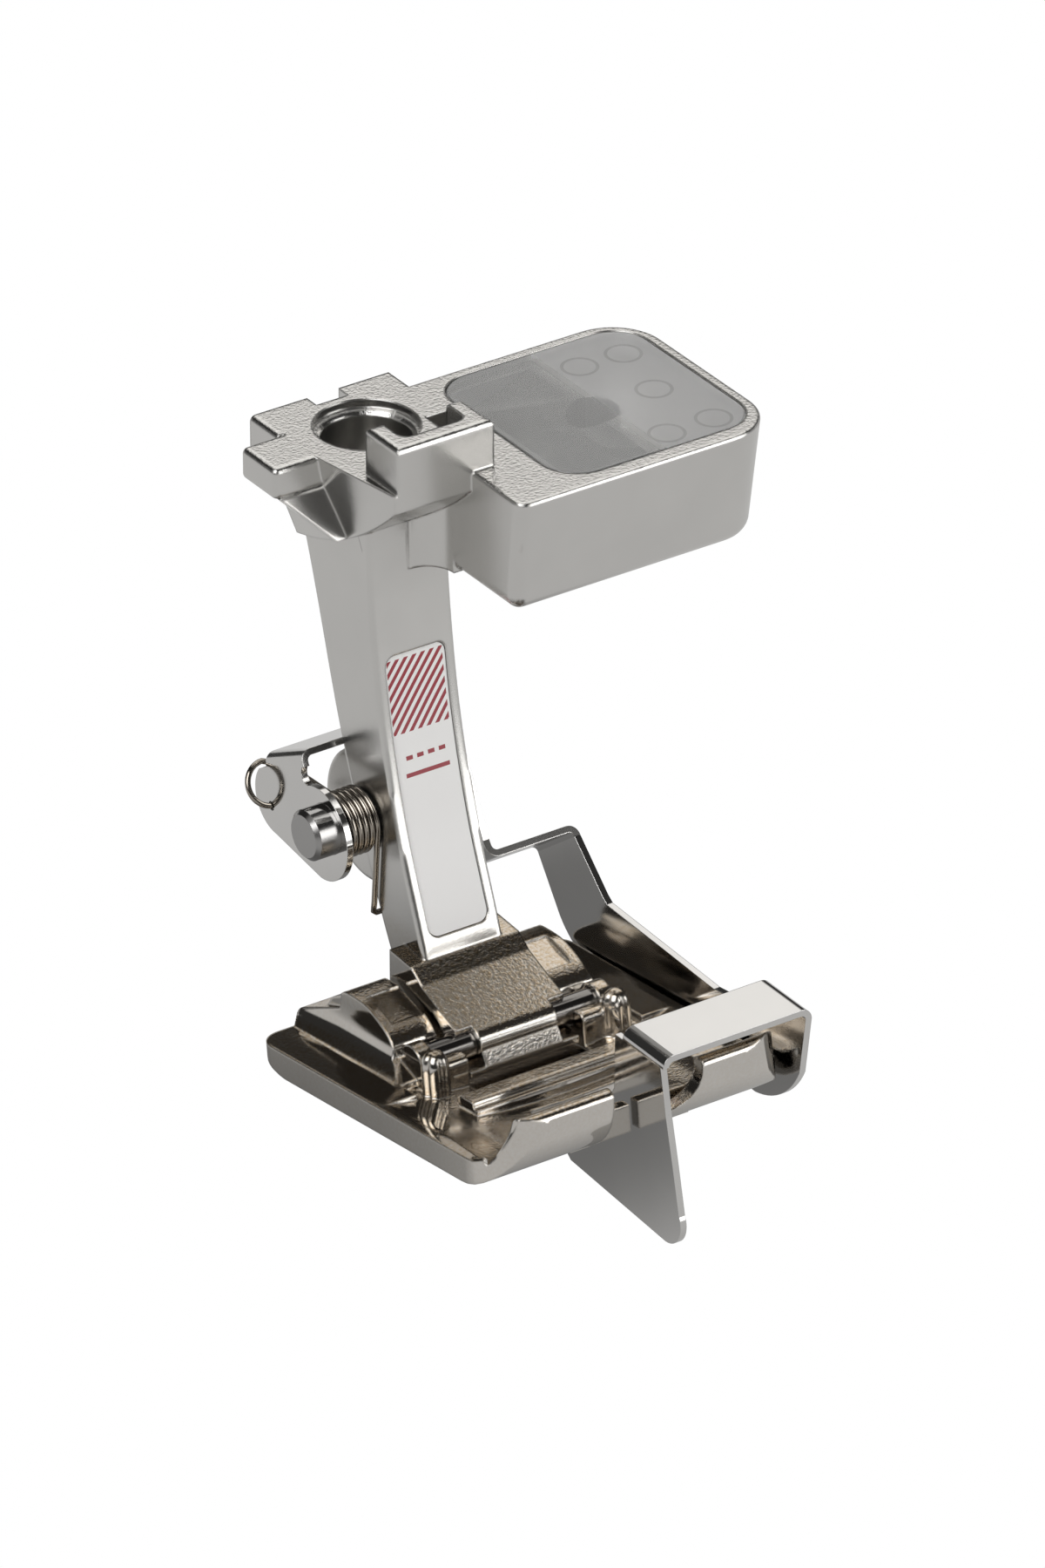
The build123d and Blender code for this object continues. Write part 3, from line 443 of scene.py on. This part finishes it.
# Dished floor between ledges
DISH_DEPTH, DISH_HALF, DISH_BACK = 1.15, 11.9, 1.5
LEDGE, LEDGE_FRONT = 9.4, -2.6
bottom = TOP - DISH_DEPTH
side_view = concave(bottom, FILLET + 0.8) + [(WALL, 4), (DISH_BACK, 4), (DISH_BACK, bottom)]
dish = prism("dish", side_view, "X", -13, 13)
bowl = arc((-DISH_HALF, TOP), (0, bottom), (DISH_HALF, TOP), 16) + [(DISH_HALF, 4), (-DISH_HALF, 4)]
combine(dish, "INTERSECT", prism("bowl", bowl, "Y", WALL - 1, 2))
for side in (1, -1):
    combine(dish, "DIFFERENCE", block("ledge", beside(side, LEDGE, 14), (LEDGE_FRONT, 3), (-4, 5)))
combine(sole, "DIFFERENCE", dish)

# Cross rib, its step, the bridge bar in front of the needle opening, and the pocket of the hinge block
RIB_FRONT, RIB_BACK, RIB_TOP, RIB_HALF = -6.65, -4.8, -0.85, 7.4
rib_side = rounded([(RIB_FRONT, ROOT), (RIB_FRONT, RIB_TOP), (RIB_BACK, RIB_TOP), (RIB_BACK, ROOT)],
                   [0, 0.3, 0.3, 0])
rib = prism("rib", rib_side, "X", -RIB_HALF, RIB_HALF)
step = block("step", (-RIB_HALF, RIB_HALF), (-7.2, -6.5), (ROOT, -1.35))
bridge = block("bridge", (-4.4, 5.4), (-13.95, -12.95), (FOOT, -1.0))
combine(sole, "UNION", rib, step, bridge)
combine(sole, "DIFFERENCE", block("pocket", (-INNER, INNER), (RIB_BACK, HEEL + 1), (-2.3, 10)))

# Ears: flared outward to their foot, with a curved crown, an inner facet and a web, and a post in front
EAR_ROOT = TOP - 0.5
crown = curve([(8.25, 2.53), (7.6, 2.78), (5.4, 2.7), (4.0, 2.25), (2.75, 1.58), (1.85, 0.78),
               (1.55, -0.12)], 4)
ear_side = crown + [(-0.6, TOP), (-0.6, EAR_ROOT), (HEEL - 0.05, EAR_ROOT)]
ear_side += arc((HEEL - 0.05, -0.2), (HEEL - 0.22, 0.2), (HEEL - 0.6, 0.4), 4) + [(8.5, 1.35)]
flare = curve([(9.9, TOP), (8.9, -0.5), (8.35, 0.6), (8.2, 3.0)], 4)
heel_flare = curve([(9.6, TOP), (9.45, -0.3), (9.2, 0.9), (9.0, 3.0)], 4)
facet = [(6.3, 3.3), (6.1, 2.63), (3.15, 1.65), (2.75, 1.88), (2.75, 3.3)]
web = [(10.4, 0.85), (9.7, 1.7), (8.2, 2.3), (8.2, 0.85)]
post_side = rounded([(-2.25, ROOT), (-2.25, 0.35), (-1.0, 0.35), (-1.0, 0.0), (1.65, 0.0), (1.65, ROOT)],
                    [0, 0.6, 0.1, 0, 0, 0])
for side in (-1, 1):
    rings = []
    for y, across in ((-2, flare), (8.4, flare), (HEEL + 0.5, heel_flare)):
        ring = [(INNER, EAR_ROOT), (across[0][0], EAR_ROOT)] + across + [(INNER, 3.0)]
        rings.append([(side * x, y, z) for x, z in ring])
    ear = loft("ear", rings)
    combine(ear, "INTERSECT", prism("ear_side", ear_side, "X", *beside(side, 4.0, 13.0)))
    combine(ear, "DIFFERENCE", prism("facet", facet, "X", *beside(side, 4.0, 7.5)))
    combine(ear, "UNION", prism("web", web, "X", *beside(side, 7.0, 8.1)))
    combine(sole, "UNION", ear, prism("post", post_side, "X", *beside(side, INNER, 7.2)))

# Lobes round the pin's ends, and the fluted stakes that were peened over to hold the pin
LOBE_R, LOBE_BACK = 1.35, 1.57
STAKE_X, STAKE_Y, STAKE_POINTS = 7.55, -2.3, 40
FLUTES, FLUTE_START, FLUTE_DEPTH = 5, math.radians(126), 0.2
STAKE_RISE = ((FOOT + 0.5, 1.0), (-2.0, 1.0), (0.45, 1.0), (0.9, 0.93), (1.25, 0.75), (1.5, 0.45),
              (1.6, 0.12))
lobe_side = arc((LOBE_R, 0), (0, LOBE_R), (-LOBE_R, 0), 16)
lobe_side += [(-LOBE_R, FOOT + 0.4), (LOBE_BACK, FOOT + 0.4), (LOBE_BACK, 0)]
for side in (-1, 1):
    lobe = prism("lobe", lobe_side, "X", *beside(side, 6.95, 8.05))
    rings = []
    for z, radius in STAKE_RISE:
        ring = []
        for n in range(STAKE_POINTS):
            way = math.tau * n / STAKE_POINTS
            flute = max(0.0, math.cos(FLUTES * (way - FLUTE_START))) ** 2 if math.sin(way) < 0.1 else 0.0
            reach = radius * (1.0 - FLUTE_DEPTH * flute)
            ring.append((side * STAKE_X + reach * math.cos(way), STAKE_Y + reach * math.sin(way), z))
        rings.append(ring)
    combine(sole, "UNION", lobe, loft("stake", rings))
SEAT_R, SEAT_HALF, SEAT_OPEN = 1.03, 7.75, 6.95
combine(sole, "DIFFERENCE", prism("seat", disc((0, 0), SEAT_R), "X", -SEAT_HALF, SEAT_HALF),
        block("seat_mouth", (-SEAT_OPEN, SEAT_OPEN), (-SEAT_R, SEAT_R), (0, 1.2)))

# Gap between the toes with the right toe's hollow end, the needle opening, and the blade's slot
SLOT = (0.65, 1.85)
GAP_LEFT, GAP_BACK, TOE_END, HOLLOW = -2.8, -13.9, 4.6, 2.85
hollow_foot, shoulder = TOE_END - HOLLOW, LIP_TOP - 0.7
gap = block("gap", (GAP_LEFT, SLOT[1]), (TOE - 1, GAP_BACK), (FOOT - 1, 3.5))
hollow = arc((hollow_foot, shoulder - HOLLOW), (TOE_END - HOLLOW * (1 - TURN), shoulder - HOLLOW * TURN),
             (TOE_END, shoulder), 10) + [(TOE_END, 3.5), (hollow_foot, 3.5)]
needle = prism("needle", rounded([(-4, -13.0), (5, -13.0), (5, -8.2), (-4, -8.2)], [0.5] * 4), "Z", -5, 5)
combine(sole, "DIFFERENCE", gap, prism("hollow", hollow, "Y", TOE - 1, -13.0), needle,
        block("slot", SLOT, (TOE - 1, -9.0), (FOOT - 1, 3.5)))

HINGE, TOE_DOWN = (0, -0.0172, -0.03895), math.radians(-6.8)
sole.data.transform(Matrix.Translation(HINGE) @ Matrix.Rotation(TOE_DOWN, 4, "X"))
smooth(sole, 30)
# The whole sole lies below -20 mm, so brown grain specks on its faces that look up are painted reflection.
plate(sole, "nickel_sole", (0.60, 0.585, 0.56), grain_mm=0.26, bump_mm=0.05, flank=0.02, sand=0.5,
      roughness=0.09, change=0.05, low_roughness=0.07, painted_brown_below=-20.0, edge_mm=0.3, sand_half=9.0)
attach(sole, "sole")
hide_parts("sole_plate")

# Hinge pin of the sole. A plain pin of dark steel, held in the sole's two ears by the peened stakes,
# on which the shank's hinge block turns.
hinge_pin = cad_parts["sole_hinge_pin"]
smooth(hinge_pin, 30)
plate(hinge_pin, "dark_pin_steel", (0.22, 0.21, 0.20), grain_mm=0.2, bump_mm=0.004, flank=0.3, sand=0.3,
      roughness=0.22)

# Edge guide. One folded sheet of polished, plated steel: ears on the pivot pin, a side arm past the
# sole, and a clip plate over the right toe with the blade that hangs between the toes.
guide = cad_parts["edge_guide"]
smooth(guide, 25)
plate(guide, "plated_sheet", (0.60, 0.592, 0.58), grain_mm=0.4, bump_mm=0.004, flank=0.1, sand=0.1,
      roughness=0.10, change=0.05, edge_mm=0.08)

# Guide pivot pin. Turned steel with a chamfered end, pressed in the guide's ear and turning in the lug
# at the shank's back.
pivot_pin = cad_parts["guide_pivot_pin"]
smooth(pivot_pin, 25)
plate(pivot_pin, "turned_steel", (0.34, 0.335, 0.33), grain_mm=0.3, bump_mm=0.006, flank=0.3, sand=0.3,
      roughness=0.28, edge_mm=0.06)

# Torsion spring. Drawn wire wound round the pivot pin: one end lies behind the shank, and the other
# passes round the ear's back edge in a half ring and ends in the ear's hole. It is drawn in millimetres
# from the head's top, which lies above the part's origin.


def tube(name, points, radius, sides):
    """Round wire along points in millimetres, with closed ends."""
    path = bpy.data.curves.new(name, "CURVE")
    path.dimensions, path.bevel_depth, path.bevel_resolution = "3D", radius / 1000, sides // 2 - 2
    path.use_fill_caps = True
    line = path.splines.new("POLY")
    line.points.add(len(points) - 1)
    for place, point in zip(line.points, points):
        place.co = (*(Vector(point) / 1000), 1)
    drawn = bpy.data.objects.new(name, path)
    bpy.context.scene.collection.objects.link(drawn)
    graph = bpy.context.evaluated_depsgraph_get()
    mesh = bpy.data.meshes.new_from_object(drawn.evaluated_get(graph))
    bpy.data.objects.remove(drawn)
    made = bpy.data.objects.new(name, mesh)
    bpy.context.scene.collection.objects.link(made)
    return made


HEAD_TOP = 1.0
PIN, COIL, WIRE = (-4.25, -28.0), 2.24, 0.21
LEFT, RIGHT, EAR = -5.6, -3.62, -6.15
HOLE, RING, LEAN = (2.75, -29.47), 1.6, math.radians(60)
TURNS, COIL_START, COIL_STEPS, RING_STEPS = 4.25, math.radians(85), 160, 24
helix = []
for n in range(COIL_STEPS + 1):
    way = COIL_START + math.tau * TURNS * n / COIL_STEPS
    helix.append((LEFT + (RIGHT - LEFT) * n / COIL_STEPS,
                  PIN[0] + COIL * math.cos(way), PIN[1] + COIL * math.sin(way)))
ring = []
for n in range(RING_STEPS + 1):
    way = math.pi * (1 - n / RING_STEPS)
    along = RING * (1 + math.cos(way))
    ring.append((EAR - RING * math.sin(way),
                 HOLE[0] + along * math.cos(LEAN), HOLE[1] + along * math.sin(LEAN)))
run = curve([ring[-2], ring[-1], (-5.5, 3.75, -26.85), (-5.45, 1.2, -26.2), helix[0], helix[2]], 8)[9:-9]
leg = [(RIGHT, -6.0, -33.9), (RIGHT, -5.88, -34.7), (RIGHT + 0.25, -5.85, -34.9), (-1.6, -5.85, -34.9)]
wire = [(EAR + 0.6, *HOLE)] + ring + run + helix + leg
spring = tube("spring", [(x, y, z + HEAD_TOP) for x, y, z in wire], WIRE, 12)
smooth(spring, 40)
plate(spring, "drawn_wire", (0.34, 0.31, 0.27), grain_mm=0.2, bump_mm=0.003, flank=0.3, sand=0.3,
      roughness=0.2, edge_mm=0.02)
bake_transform(spring)
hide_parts("guide_spring")

# Floor. The photograph is a cut-out on white, so the floor shows white to the camera, while the metal
# sees a pale floor whose glow has a painted shadow near the foot, and other rays a plain pale one that takes
# its shadow.
FLOOR = -0.049
PAINTED_SHADOW_R, PALE_R, PAINTED_SHADOW, PALE = 0.016, 0.040, 0.22, 0.66
bpy.ops.mesh.primitive_plane_add(size=4.0)
floor = bpy.context.object
floor.name = "floor"
floor.data.transform(Matrix.Translation((0, 0, FLOOR)))
tree, shader = material(floor, "pale_floor", Base_Color=(0.80, 0.80, 0.79, 1), Roughness=0.8)
seen = node(tree, "LightPath").outputs
away = distance(tree, node(tree, "TexCoord").outputs["Object"], (0.0, -0.004, FLOOR))
white = node(tree, "Emission", {"Color": (1, 1, 1, 1), "Strength": 1.0})
pale = node(tree, "Emission", {"Color": (1.0, 0.995, 0.985, 1)})
# Painted shadow: the glow that the metal sees falls from PALE far out to PAINTED_SHADOW near the foot.
tree.links.new(ramp(tree, away, PAINTED_SHADOW_R, PALE_R, PAINTED_SHADOW, PALE), pale.inputs["Strength"])
mirrored = node(tree, "MixShader")
glossy = maths(tree, "MAXIMUM", seen["Is Glossy Ray"], seen["Is Transmission Ray"])
tree.links.new(glossy, mirrored.inputs["Fac"])
tree.links.new(shader.outputs[0], mirrored.inputs[1])
tree.links.new(pale.outputs[0], mirrored.inputs[2])
shown = node(tree, "MixShader")
tree.links.new(seen["Is Camera Ray"], shown.inputs["Fac"])
tree.links.new(mirrored.outputs[0], shown.inputs[1])
tree.links.new(white.outputs[0], shown.inputs[2])
tree.links.new(shown.outputs[0], tree.nodes["Material Output"].inputs["Surface"])

# Studio. A dim, slightly warm sky with three soft patches that the plating mirrors: one high behind the
# foot, one low in front of it to the right, and a weak one at its left. The camera sees plain white.
world = bpy.data.worlds.new("studio")
bpy.context.scene.world = world
world.use_nodes = True
tree = world.node_tree
place = node(tree, "TexCoord").outputs["Generated"]


def glow(azimuth, elevation, inner, outer, level):
    """A soft round patch of the studio, seen in a direction, between two angles from its middle."""
    around, above = math.radians(azimuth), math.radians(elevation)
    dot = node(tree, "VectorMath", operation="DOT_PRODUCT")
    dot.inputs[1].default_value = (math.sin(around) * math.cos(above), -math.cos(around) * math.cos(above),
                                   math.sin(above))
    tree.links.new(place, dot.inputs[0])
    return ramp(tree, dot.outputs["Value"], math.cos(math.radians(outer)), math.cos(math.radians(inner)),
                0.0, level)


light = 0.04
for patch in (glow(146, 55, 24, 36, 1.25), glow(26, 4, 12, 32, 1.5), glow(-100, 30, 12, 32, 0.35)):
    light = maths(tree, "ADD", patch, light)
tinted = node(tree, "CombineXYZ")
for axis, share in (("X", 1.0), ("Y", 0.985), ("Z", 0.96)):
    tree.links.new(maths(tree, "MULTIPLY", light, share), tinted.inputs[axis])
to_camera = node(tree, "LightPath").outputs["Is Camera Ray"]
tree.links.new(mix(tree, to_camera, tinted.outputs[0], (1, 1, 1)), tree.nodes["Background"].inputs["Color"])


def softbox(name, position, width, height, watts):
    """A rectangular area light turned to the foot."""
    lamp = bpy.data.lights.new(name, "AREA")
    lamp.shape = "RECTANGLE"
    lamp.size, lamp.size_y, lamp.energy = width, height, watts
    holder = bpy.data.objects.new(name, lamp)
    bpy.context.scene.collection.objects.link(holder)
    holder.location = position
    holder.rotation_mode = "QUATERNION"
    holder.rotation_quaternion = (Vector((0, 0, -0.02)) - Vector(position)).to_track_quat("-Z", "Y")


softbox("key", (-0.35, -0.15, 0.35), 0.4, 0.4, 1.8)
softbox("fill", (0.35, -0.45, 0.10), 0.4, 0.3, 0.9)

# Camera. A long lens at the photograph's angle, solved from the head, the sensor box and the sole.
AZIMUTH, ELEVATION, ROLL = math.radians(-33.94), math.radians(29.71), math.radians(-0.138)
CAMERA = (-0.462611, -0.706492, 0.454334)
back = Vector((math.sin(AZIMUTH) * math.cos(ELEVATION), -math.cos(AZIMUTH) * math.cos(ELEVATION),
               math.sin(ELEVATION)))
level = Vector((math.cos(AZIMUTH), math.sin(AZIMUTH), 0))
upright = back.cross(level)
right = math.cos(ROLL) * level + math.sin(ROLL) * upright
up = math.cos(ROLL) * upright - math.sin(ROLL) * level
lens = bpy.data.cameras.new("camera")
lens.sensor_width, lens.lens = 36.0, 320.0
lens.clip_start, lens.clip_end = 0.05, 10.0
camera = bpy.data.objects.new("camera", lens)
bpy.context.scene.collection.objects.link(camera)
camera.matrix_world = Matrix.Translation(CAMERA) @ Matrix((right, up, back)).transposed().to_4x4()
bpy.context.scene.camera = camera
bpy.context.scene.view_settings.view_transform = "Standard"

bpy.context.view_layer.update()
